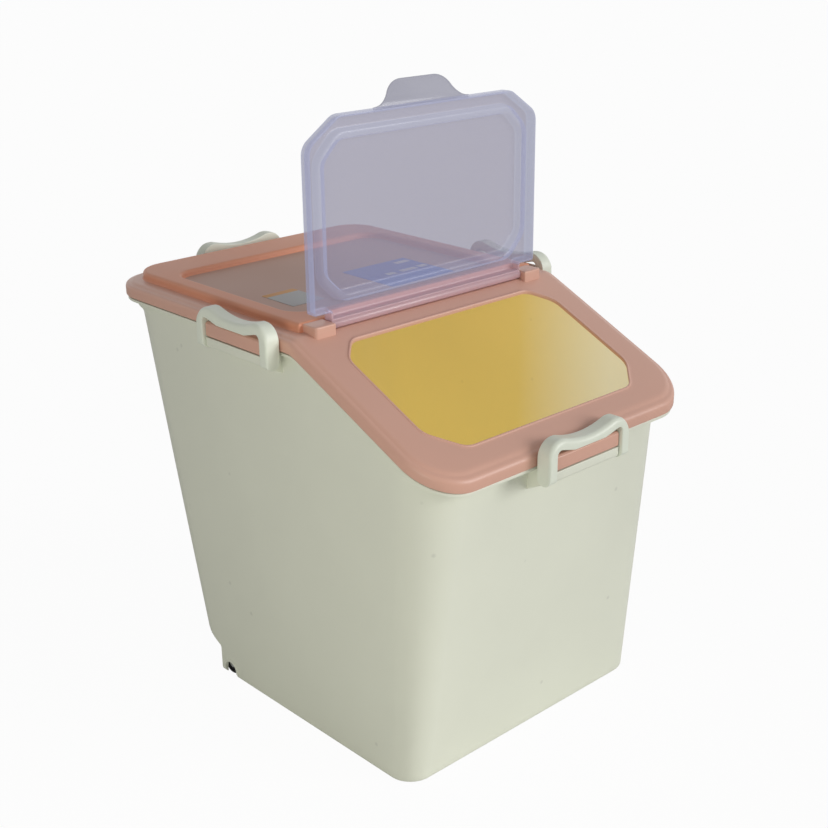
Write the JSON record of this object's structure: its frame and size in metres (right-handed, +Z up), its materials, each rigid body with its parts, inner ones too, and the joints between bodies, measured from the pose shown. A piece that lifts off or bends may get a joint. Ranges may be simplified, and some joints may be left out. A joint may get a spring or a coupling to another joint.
{
  "type": "rice bin with flip lid",
  "caption": "Tapered household rice bin with a sloped clip-on lid, a see-through flip door over the scoop opening, swing clips and rear wheels.",
  "frame": {"origin": "on the floor under the middle of the lid", "axes": "+X the bin's right side seen from the front, the front faces -Y, +Z up"},
  "size_m": [0.3298, 0.4548, 0.539],
  "materials": {
    "tub_plastic": "fine satin moulded polypropylene",
    "lid_plastic": "satin moulded polypropylene",
    "seal_rubber": "soft silicone",
    "door_clear": "clear tinted plastic, smooth",
    "clip_plastic": "satin moulded polypropylene",
    "wheel_plastic": "hard moulded plastic",
    "axle_steel": "drawn wire",
    "label_blue": "printed film",
    "label_tan": "printed film"
  },
  "bodies": {
    "bin": {"tub": "tub_plastic", "lid": "lid_plastic", "lid_seal": "seal_rubber", "axle_left": "axle_steel", "axle_right": "axle_steel", "label_wide": "label_blue", "label_small": "label_tan"},
    "door": {"flip_door": "door_clear"},
    "latch_left": {"clip_left": "clip_plastic"},
    "latch_right": {"clip_right": "clip_plastic"},
    "latch_front": {"clip_front": "clip_plastic"},
    "latch_rear": {"clip_rear": "clip_plastic"},
    "roller_left": {"wheel_left": "wheel_plastic"},
    "roller_right": {"wheel_right": "wheel_plastic"}
  },
  "joints": [
    {"name": "door_hinge", "type": "hinge", "parent": "bin", "child": "door", "pos_m": [0, -0.0485, 0.358], "axis": [1, 0, 0], "range_deg": [0, 114.3]},
    {"name": "clip_left_pivot", "type": "hinge", "parent": "bin", "child": "latch_left", "pos_m": [-0.1582, 0.008, 0.336], "axis": [0, -1, 0], "range_deg": [0, 150]},
    {"name": "clip_right_pivot", "type": "hinge", "parent": "bin", "child": "latch_right", "pos_m": [0.1582, 0.008, 0.336], "axis": [0, 1, 0], "range_deg": [0, 150]},
    {"name": "clip_front_pivot", "type": "hinge", "parent": "bin", "child": "latch_front", "pos_m": [0, -0.2207, 0.261], "axis": [1, 0, 0], "range_deg": [0, 150]},
    {"name": "clip_rear_pivot", "type": "hinge", "parent": "bin", "child": "latch_rear", "pos_m": [0, 0.2207, 0.336], "axis": [-1, 0, 0], "range_deg": [0, 150]},
    {"name": "wheel_left_spin", "type": "hinge", "parent": "bin", "child": "roller_left", "pos_m": [-0.132, 0.076, 0.01], "axis": [1, 0, 0], "continuous": true},
    {"name": "wheel_right_spin", "type": "hinge", "parent": "bin", "child": "roller_right", "pos_m": [0.132, 0.076, 0.01], "axis": [1, 0, 0], "continuous": true}
  ]
}
